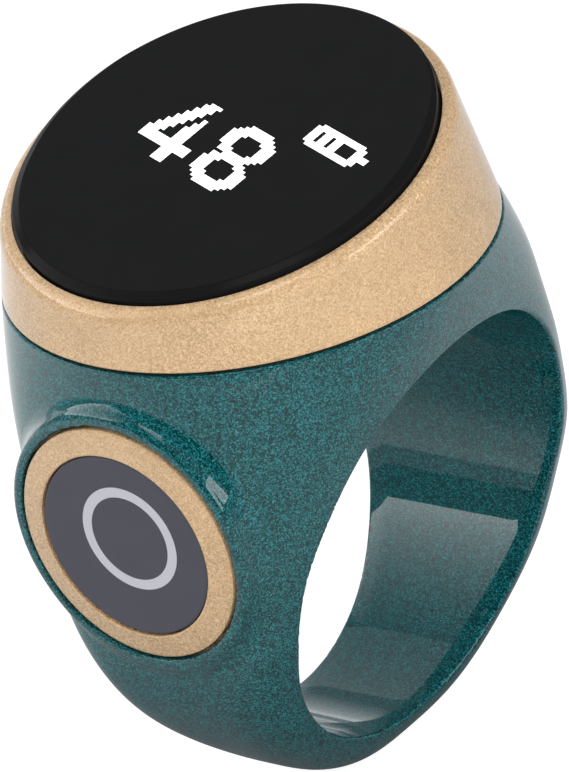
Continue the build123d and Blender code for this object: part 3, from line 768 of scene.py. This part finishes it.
@dataclass
class Head:
    """The gold bezel and the black window in it."""

    segments: int = 224
    head_centre: tuple = (0.0, -0.87)
    base: float = 13.69
    base_radius: float = 11.28
    base_edge: float = 0.14
    bore: float = 8.95
    rim_centre: tuple = (0.0, -1.285, 18.4)
    rim_tilt: float = 11.72
    seat_radius: float = 9.94
    land: float = 0.56
    rim_round: float = 0.55
    seat_round: float = 0.05
    seat_depth: float = 1.05
    window_radius: float = 9.84
    window_back: float = -0.9
    window_top: float = 0.39
    window_soft: float = 0.04
    bevel_width: float = 0.42
    bevel_drop: float = 0.2
    bevel_least: float = 0.15
    bevel_turn: float = 13.0
    window_lean: float = 0.79
    bevel_swing: float = 1.3
    bevel_arc: float = 0.2
    bevel_loops: tuple = (1.0, 2.5)
    top_loops: tuple = (0.2, 1.5)
    base_ledge: float = 0.6
    wall_shares: tuple = (0.045, 0.075, 0.2, 0.4, 0.6, 0.8, 0.92)
    rim_steps: int = 10

    def tilted(self, radius: float, height: float = 0.0) -> Loop:
        """Returns a hoop square to the tilted window, at a radius and a height above the rim."""
        place = self.window_frame()
        return lambda turn: place @ Vector((radius * cos(turn), radius * sin(turn), height))

    def level(self, radius: float, height: float) -> Loop:
        """Returns a level hoop round the head, at a radius and a height in the row frame."""
        across, along = self.head_centre
        return lambda turn: Vector((across + radius * cos(turn), along + radius * sin(turn), height))

    def window_frame(self) -> Matrix:
        """Returns the tilted frame of the window, in millimetres."""
        return Matrix.Translation(self.rim_centre) @ Matrix.Rotation(radians(self.rim_tilt), 4, "X")

    def seat_bore(self, turn: float) -> Vector:
        """Returns a point where the level bore meets the tilted seat."""
        point = self.level(self.bore, 0.0)(turn)
        normal = self.window_frame().to_3x3() @ Vector((0, 0, 1))
        seat = self.window_frame() @ Vector((0, 0, -self.seat_depth))
        point.z = seat.z - ((point - seat).xy @ normal.xy) / normal.z
        return point

    def wall(self, share: float) -> Loop:
        """Returns a hoop on the sloping wall, at a share of the way from the base to the rounded rim."""
        low = self.level(self.base_radius, self.base)
        high = self.rounded_rim(0.0)
        return lambda turn: low(turn).lerp(high(turn), share)

    def rounded_rim(self, share: float) -> Loop:
        """Returns a hoop on the rounded rim, at a share of the way from the wall to the land."""
        edge = self.tilted(self.seat_radius + self.land)
        low = self.level(self.base_radius, self.base)
        middle = Vector(self.rim_centre)

        def hoop(turn: float) -> Vector:
            """Returns the hoop's point at a turn."""
            corner = edge(turn)
            down = (low(turn) - corner).normalized() * self.rim_round
            inward = (middle - corner).normalized() * self.rim_round
            return corner + down * (1 - share) ** 2 + inward * share**2

        return hoop

    def build_bezel(self) -> None:
        """Builds the gold wedge with its rounded rim."""
        edge, steps = self.base_edge, self.rim_steps
        loops = [self.level(self.bore, self.base), self.level(self.base_radius - self.base_ledge, self.base)]
        loops += [self.level(self.base_radius - edge, self.base)]
        loops += [self.level(self.base_radius - edge * ARC, self.base + edge * ARC)]
        loops += [self.wall(share) for share in self.wall_shares]
        loops += [self.rounded_rim(index / steps) for index in range(steps + 1)]
        inner = self.seat_radius
        loops += [self.tilted(inner + self.seat_round), self.tilted(inner, -self.seat_round)]
        loops += [self.tilted(inner, -self.seat_depth), self.seat_bore]
        piece = Workbench.hoops("bezel_ring", loops, self.segments, closed=True)
        Workbench.finish(piece, GOLD_LACQUER.build(), Body.RING, Slot.GOLD_SATIN, "bezel")

    def glass_frame(self) -> Matrix:
        """Returns the window's own frame: it stands a little prouder of the bezel at the back."""
        front = Matrix.Translation((0, -self.window_radius, 0))
        leaned = Matrix.Rotation(radians(self.window_lean), 4, "X")
        return self.window_frame() @ front @ leaned @ front.inverted()

    def glass(self, inset: float, drop: float, height: Optional[float] = None) -> Loop:
        """Returns a hoop on the window's edge.

        Args:
            inset: How far it lies inside the radius where the bevel is widest.
            drop: How far it lies under the top where the bevel is widest.
            height: A fixed height, for a hoop that the bevel leaves alone.

        Returns:
            The hoop.
        """
        place = self.glass_frame()

        def hoop(turn: float) -> Vector:
            """Returns the hoop's point at a turn."""
            lean = 1.0 - self.bevel_swing * sin(turn - radians(self.bevel_turn))
            share = min(max(lean, self.bevel_least), 1.0) if height is None else 1.0
            radius = self.window_radius - inset * share
            level = self.window_top - drop * share if height is None else height
            return place @ Vector((radius * cos(turn), radius * sin(turn), level))

        return hoop

    def build_window(self) -> None:
        """Builds the black glass with its bevelled upper edge."""
        soft, width, drop = self.window_soft, self.bevel_width, self.bevel_drop
        slope = drop / width
        loops = [self.glass(soft, 0, self.window_back), self.glass(0, 0, self.window_back + soft)]
        loops += [self.glass(0, 0, self.window_top - drop - soft * 3)]
        loops += [self.glass(0, drop + soft), self.glass(soft * ARC, drop + soft * self.bevel_arc)]
        for share in self.bevel_loops:
            loops.append(self.glass(soft * share, drop - soft * share * slope))
        for share in reversed(self.bevel_loops):
            loops.append(self.glass(width - soft * share, soft * share * slope))
        loops += [self.glass(width + soft * share, 0) for share in self.top_loops]
        loops += [self.glass(self.window_radius / 2, 0, self.window_top)]
        piece = Workbench.hoops("window_glass", loops, self.segments, closed=False)
        Workbench.finish(piece, WINDOW_BLACK.build(), Body.RING, Slot.WINDOW_GLASS, "display_window")


@dataclass
class Octagon:
    """An upright rectangle with cut corners, in display dots."""

    left: float
    low: float
    width: float
    height: float
    cut_low: float = 0.0
    cut_high: float = 0.0

    def holds(self, across: float, up: float) -> bool:
        """Says whether a dot's centre is inside."""
        side = min(across - self.left, self.left + self.width - across)
        below, above = up - self.low, self.low + self.height - up
        if min(side, below, above) < 0:
            return False
        return side + below > self.cut_low and side + above > self.cut_high


@dataclass
class LitSign:
    """The lit count and battery sign, drawn in display dots on the window."""

    dot: tuple = (0.262, 0.1865)
    battery_dot: tuple = (0.256, 0.172)
    rightward: tuple = (0.998, 0.0645)
    upward: tuple = (-0.139, 0.99)
    turn: float = -22.0
    lift: float = 0.006
    shift: tuple = (0.19, -0.12)
    thickness: float = 0.012
    four_size: tuple = (13, 21)
    four_origin: tuple = (-4.55, -2.44)
    eight_size: tuple = (12, 21)
    eight_origin: tuple = (-0.444, -2.128)
    battery_size: tuple = (16, 8)
    battery_origin: tuple = (2.592, 2.483)

    @staticmethod
    def four(across: float, up: float) -> bool:
        """Says whether a dot of the open four is lit, by its bar, its slant and its stem."""
        bar = 4 < up < 7 and 0 < across < 13
        lean = (up - 7) / 2
        slant = up > 6.9 and lean < across < lean + 3.2
        stem = 7 < across < 10 and across > 5 + lean
        return bar or slant or stem

    @staticmethod
    def eight(across: float, up: float) -> bool:
        """Says whether a dot of the eight is lit."""
        upper, lower = Octagon(0, 9, 12, 12, 4, 3.2), Octagon(0, 0, 12, 12, 3.2, 4)
        holes = Octagon(3, 12, 6, 6, 1.2, 1.2), Octagon(3, 3, 6, 6, 1.2, 1.2)
        solid = upper.holds(across, up) or lower.holds(across, up)
        return solid and not any(hole.holds(across, up) for hole in holes)

    @staticmethod
    def battery(across: float, up: float) -> bool:
        """Says whether a dot of the battery sign is lit."""
        case, tip = Octagon(0, 0, 14, 8, 1.2, 1.2), Octagon(14, 3, 2, 2)
        gaps = Octagon(2, 2, 1, 4), Octagon(5, 2, 1, 4), Octagon(8, 2, 4, 4)
        if any(gap.holds(across, up) for gap in gaps):
            return False
        return case.holds(across, up) or tip.holds(across, up)

    def build_glyph(
        self, name: str, lit: Lit, size: tuple, dot: tuple, origin: tuple, place: Matrix
    ) -> None:
        """Builds one glyph as a thin plate of lit dots.

        Args:
            name: The piece's name.
            lit: Says whether the dot with this centre is lit.
            size: How many dots the glyph has across and up.
            dot: A dot's width and height.
            origin: The glyph's lower left corner on the display.
            place: The display's frame on the window, in millimetres.
        """
        Workbench.clear_selection()
        bpy.ops.mesh.primitive_grid_add(x_subdivisions=size[0], y_subdivisions=size[1], size=1.0)
        piece = Workbench.adopt(name)
        piece.data.transform(Matrix.Diagonal((size[0], size[1], 1, 1)) @ Matrix.Translation((0.5, 0.5, 0)))
        bpy.ops.object.mode_set(mode="EDIT")
        bpy.ops.mesh.select_mode(type="FACE")
        bpy.ops.mesh.select_all(action="DESELECT")
        shape = bmesh.from_edit_mesh(piece.data)
        for face in shape.faces:
            centre = face.calc_center_median()
            face.select_set(not lit(centre.x, centre.y))
        bmesh.update_edit_mesh(piece.data)
        bpy.ops.mesh.delete(type="FACE")
        bpy.ops.object.mode_set(mode="OBJECT")
        sheared = Matrix.Identity(4)
        for column, (direction, step) in enumerate(zip((self.rightward, self.upward), dot)):
            sheared[0][column], sheared[1][column] = direction[0] * step, direction[1] * step
        piece.data.transform(Matrix.Scale(MM, 4) @ place @ Matrix.Translation((*origin, 0)) @ sheared)
        piece.data.update()
        Workbench.apply(piece, "SOLIDIFY", thickness=self.thickness * MM, offset=1.0)
        Workbench.finish(piece, SIGN_LIGHT.build(), Body.RING, Slot.WHITE_INK)

    def build(self, head: Head) -> None:
        """Builds the two numerals and the battery sign on a head's window.

        Args:
            head: The head that carries them.
        """
        flat = Matrix.Translation((*self.shift, head.window_top + self.lift))
        place = head.glass_frame() @ flat @ Matrix.Rotation(radians(self.turn), 4, "Z")
        for name, lit, size, dot, origin in (
            ("sign_four", self.four, self.four_size, self.dot, self.four_origin),
            ("sign_eight", self.eight, self.eight_size, self.dot, self.eight_origin),
            ("sign_battery", self.battery, self.battery_size, self.battery_dot, self.battery_origin),
        ):
            self.build_glyph(name, lit, size, dot, origin, place)


@dataclass
class PushButton:
    """The gold coned ring, the black disc in it and the printed white ring."""

    segments: int = 192
    height: float = 5.16
    radius: float = 5.73
    nub: float = 1.2
    nub_tip: float = 11.23
    back: float = 11.55
    bead: float = 5.88
    bead_top: float = 11.8
    bead_lead: float = 0.15
    edge: float = 12.8
    crown: float = 13.07
    seat: float = 4.53
    floor: float = 12.16
    ring_round: float = 0.1
    ring_arc: float = 0.25
    cone_ease: float = 0.6
    cone_shares: tuple = (0.15, 0.4, 0.7, 0.9)
    disc_radius: float = 4.45
    disc_face: float = 12.96
    disc_round: float = 0.06
    mark_centre: tuple = (0.35, 0.43)
    mark_inner: float = 2.07
    mark_outer: float = 2.56
    mark_lift: float = 0.002
    mark_thickness: float = 0.012

    def hoop(self, radius: float, out: float, centre: tuple = (0.0, 0.0)) -> Loop:
        """Returns a hoop round the button's axis, at a radius and a distance out from the bore's axis."""
        across, up = centre[0], self.height + centre[1]
        return lambda turn: Vector((across + radius * cos(turn), -out, up + radius * sin(turn)))

    def turned(self, name: str, profile: Sequence[tuple]) -> Piece:
        """Returns a filled piece turned round the button's axis from its profile of radius and distance."""
        loops = [self.hoop(*point) for point in profile]
        return Workbench.hoops(name, loops, self.segments, closed=False)

    def build_ring(self) -> None:
        """Builds the gold cap with its coned ring, skirt, snap bead and nub."""
        bend, ease = self.ring_round, self.ring_round * self.cone_ease
        rise = (self.crown - self.edge) / (self.radius - self.seat)
        profile = [(self.nub / 2, self.nub_tip), (self.nub, self.nub_tip), (self.nub, self.back)]
        profile += [(self.bead - self.bead_lead, self.back), (self.bead, self.back + self.bead_lead)]
        profile += [(self.bead, self.bead_top), (self.radius, self.bead_top)]
        profile += [(self.radius, self.edge - bend * 2), (self.radius, self.edge - bend)]
        profile += [(self.radius - bend * self.ring_arc, self.edge - bend * ARC)]
        profile += [(self.radius - bend, self.edge + ease * rise)]
        for share in self.cone_shares:
            radius = self.radius + (self.seat - self.radius) * share
            profile.append((radius, self.edge + (self.radius - radius) * rise))
        profile += [(self.seat + ease, self.crown - ease * rise), (self.seat, self.crown - bend / 2)]
        profile += [(self.seat, self.crown - bend * 2), (self.seat, self.floor), (self.seat / 2, self.floor)]
        piece = self.turned("button_ring", profile)
        Workbench.finish(piece, GOLD_LACQUER.build(), Body.BUTTON, Slot.GOLD_SATIN, "button_cap")

    def build_disc(self) -> None:
        """Builds the black disc with its softened edge."""
        radius, face, bend = self.disc_radius, self.disc_face, self.disc_round
        profile = [(radius / 2, self.floor), (radius, self.floor)]
        profile += [(radius, face - bend * 2), (radius, face - bend)]
        profile += [(radius - bend * ARC, face - bend * ARC), (radius - bend, face)]
        profile += [(radius - bend * 3, face), (radius / 2, face)]
        piece = self.turned("button_disc", profile)
        Workbench.finish(piece, DISC_BLACK_PAINTED_SHEEN.build(), Body.BUTTON, Slot.BLACK_GLOSS, "button_inlay")

    def build_mark(self) -> None:
        """Builds the printed white ring."""
        inner, outer = self.mark_inner, self.mark_outer
        low, high = self.disc_face + self.mark_lift, self.disc_face + self.mark_thickness
        profile = [(inner, low), (outer, low), (outer, high), (inner, high)]
        loops = [self.hoop(*point, self.mark_centre) for point in profile]
        piece = Workbench.hoops("button_mark", loops, self.segments, closed=True)
        Workbench.finish(piece, MARK_INK.build(), Body.BUTTON, Slot.WHITE_INK)


class InnerParts:
    """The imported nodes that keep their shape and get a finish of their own."""

    def dress(self) -> None:
        """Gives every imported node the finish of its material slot."""
        finishes = {finish.slot: finish.build() for finish in INNER_FINISHES}
        for part in frame["record"]["subparts"]:
            material = finishes.get(part["material_slot"])
            if material:
                node = frame["nodes"][part["node"]]
                node.data.materials.clear()
                node.data.materials.append(material)
                LOG.info("%s: finished as %s", part["node"], part["material_slot"])


@dataclass(frozen=True)
class Softbox:
    """A rectangular soft lamp that faces the ring and may fade along its height."""

    name: str
    azimuth: float
    elevation: float
    width: float
    height: float
    radiance: float
    fade: float = 0.0
    mirrored: bool = True
    diffuse: bool = True
    distance: float = 400.0

    def build(self) -> None:
        """Adds the lamp."""
        data = bpy.data.lights.new(self.name, "AREA")
        data.shape = "RECTANGLE"
        data.size = self.width * MM
        data.size_y = self.height * MM
        data.energy = self.radiance * pi * data.size * data.size_y
        data.use_nodes = True
        sheet = NodeSheet(data.node_tree)
        spot = sheet.add("ShaderNodeNewGeometry").outputs["Parametric"]
        height = sheet.add("ShaderNodeSeparateXYZ", {0: spot}).outputs["Y"]
        level = sheet.math("POWER", sheet.math("SUBTRACT", 1.0, height), self.fade)
        sheet.feed(sheet.tree.nodes["Emission"].inputs["Strength"], level)
        lamp = bpy.data.objects.new(self.name, data)
        bpy.context.collection.objects.link(lamp)
        lamp.visible_glossy = self.mirrored
        lamp.visible_diffuse = self.diffuse
        turn, rise = radians(self.azimuth), radians(self.elevation)
        direction = Vector((cos(rise) * cos(turn), cos(rise) * sin(turn), sin(rise)))
        place = direction * self.distance * MM
        facing = place.to_track_quat("Z", "Y").to_matrix().to_4x4()
        lamp.matrix_world = Matrix.Translation(place) @ facing


@dataclass
class Studio:
    """White surroundings, soft lamps, a pale floor and the camera."""

    floor_height: float = -12.28
    floor_size: float = 6000.0
    floor_grain: float = 3.0
    floor_zone: tuple = (0.3, 0.7)
    floor_tones: tuple = (0.28, 0.31)
    floor_roughness: float = 0.9
    floor_white: float = 0.9
    floor_mirror: float = 0.42
    # radii in mm over which a painted shadow in the floor's glow to gloss fades out round the ring's foot
    floor_painted_shadow: tuple = (8.0, 32.0)
    # X places in mm over which painted light in the floor's glow to gloss grows towards the left, up to the
    # gain below
    floor_painted_light_zone: tuple = (-10.0, -60.0)
    floor_painted_light_gain: float = 2.0
    sky_diffuse: float = 0.75
    sky_mirror: float = 0.28
    sky_tint: Colour = (0.9, 0.93, 1.0)
    backdrop_top: float = 0.13
    backdrop_level: float = 0.55
    dark_side: tuple = (0.25, -0.93, 0.26)
    dark_level: float = 0.04
    dark_zone: tuple = (0.5, 0.8)
    lamps: tuple = (
        Softbox("key_softbox", -151.0, 42.8, 375.0, 300.0, 3.2, 1.7, diffuse=False),
        Softbox("right_softbox", 6.0, 25.0, 240.0, 140.0, 3.4),
        Softbox("left_softbox", 165.0, 16.0, 220.0, 110.0, 0.9, diffuse=False),
        Softbox("back_softbox", 130.0, 12.0, 200.0, 130.0, 1.2, 1.0, diffuse=False),
        Softbox("upper_softbox", 147.0, 37.85, 195.0, 300.0, 0.36, diffuse=False),
        Softbox("top_softbox", -80.0, 74.0, 150.0, 150.0, 2.2),
        Softbox("front_fill", -52.0, 14.0, 260.0, 160.0, 4.4, mirrored=False),
    )
    camera_place: tuple = (260.698, -285.312, 211.814)
    camera_right: tuple = (0.7875, 0.5874, -0.1866)
    camera_up: tuple = (-0.1539, 0.4806, 0.8634)
    camera_back: tuple = (0.5968, -0.6512, 0.4688)
    camera_nearest: float = 10.0
    sensor: float = 36.0
    lens: float = 457.92
    shift: tuple = (0.0061, -0.0128)

    def build_world(self) -> None:
        """Sets up white surroundings, with a darker side that only gloss shows."""
        world = bpy.data.worlds.new("white_studio")
        bpy.context.scene.world = world
        world.use_nodes = True
        sheet = NodeSheet(world.node_tree)
        sheet.tree.nodes.clear()
        path = sheet.add("ShaderNodeLightPath").outputs
        around = sheet.add("ShaderNodeTexCoord").outputs["Generated"]
        side = sheet.add("ShaderNodeVectorMath", {0: around, 1: self.dark_side}, operation="DOT_PRODUCT")
        dark = sheet.span(side.outputs["Value"], self.sky_mirror, self.dark_level, self.dark_zone, soft=True)
        height = sheet.add("ShaderNodeSeparateXYZ", {0: around}).outputs["Z"]
        above = sheet.math("GREATER_THAN", height, self.backdrop_top)
        mirrored = sheet.choose(above, self.backdrop_level, dark)
        strength = sheet.choose(path["Is Glossy Ray"], self.sky_diffuse, mirrored)
        strength = sheet.choose(path["Is Transmission Ray"], strength, 1.0)
        strength = sheet.choose(path["Is Camera Ray"], strength, 1.0)
        tint = sheet.mix(path["Is Camera Ray"], self.sky_tint, grey(1.0))
        sky = sheet.add("ShaderNodeBackground", {"Strength": strength, "Color": tint})
        sheet.add("ShaderNodeOutputWorld", {"Surface": sky.outputs[0]})

    def build_floor(self) -> None:
        """Adds the pale floor, white to the camera but for the object's shadow; its glow to gloss holds a
        painted shadow round the ring's foot and painted light towards the left.
        """
        Workbench.clear_selection()
        height = self.floor_height * MM
        bpy.ops.mesh.primitive_plane_add(size=self.floor_size * MM, location=(0, 0, height))
        floor = Workbench.adopt("studio_floor")
        book = NodeBook("studio_floor")
        grain = book.noise(self.floor_grain)
        tones = [grey(tone) for tone in self.floor_tones]
        book.set(Base_Color=book.ramp(grain, self.floor_zone, tones))
        book.set(Roughness=self.floor_roughness, Specular_IOR_Level=0.0, Emission_Color=grey(1.0))
        path = book.add("ShaderNodeLightPath").outputs
        mirrored = book.math("MAXIMUM", path["Is Glossy Ray"], path["Is Transmission Ray"])
        # painted shadow: the floor's glow to gloss and transmission is nothing at the ring's foot and rises
        # with distance
        away = book.add("ShaderNodeVectorMath", {0: book.coords}, operation="LENGTH").outputs["Value"]
        zone = [edge * MM for edge in self.floor_painted_shadow]
        gloss = book.math("MULTIPLY", mirrored, book.span(away, 0.0, self.floor_mirror, zone, soft=True))
        # painted light: the floor's glow to gloss grows towards the left side, up to the gain
        across = book.add("ShaderNodeSeparateXYZ", {0: book.coords}).outputs["X"]
        zone = [edge * MM for edge in self.floor_painted_light_zone]
        glow_with_painted_light = book.math("MULTIPLY", gloss, book.span(across, 1.0, self.floor_painted_light_gain, zone))
        seen = book.span(path["Is Camera Ray"], 0.0, self.floor_white)
        book.set(Emission_Strength=book.math("MAXIMUM", glow_with_painted_light, seen))
        floor.data.materials.append(book.material)

    def build_camera(self) -> None:
        """Adds the camera at the photograph's angle."""
        data = bpy.data.cameras.new("photo_camera")
        data.sensor_fit = "VERTICAL"
        data.sensor_height = self.sensor
        data.lens = self.lens
        data.shift_x, data.shift_y = self.shift
        data.clip_start = self.camera_nearest * MM
        camera = bpy.data.objects.new("photo_camera", data)
        bpy.context.collection.objects.link(camera)
        turned = Matrix((self.camera_right, self.camera_up, self.camera_back)).transposed().to_4x4()
        camera.matrix_world = Matrix.Translation(Vector(self.camera_place) * MM) @ turned
        bpy.context.scene.camera = camera

    def build(self) -> None:
        """Builds the whole studio."""
        bpy.context.scene.view_settings.view_transform = "Standard"
        self.build_world()
        self.build_floor()
        for lamp in self.lamps:
            lamp.build()
        self.build_camera()


def main() -> None:
    """Builds the ring's pieces in order, dresses the inner parts and sets up the studio."""
    logging.basicConfig(level=logging.INFO)
    InnerParts().dress()
    BodyShell().build()
    head = Head()
    head.build_bezel()
    head.build_window()
    LitSign().build(head)
    button = PushButton()
    button.build_ring()
    button.build_disc()
    button.build_mark()
    Studio().build()


if __name__ == "__main__":
    main()
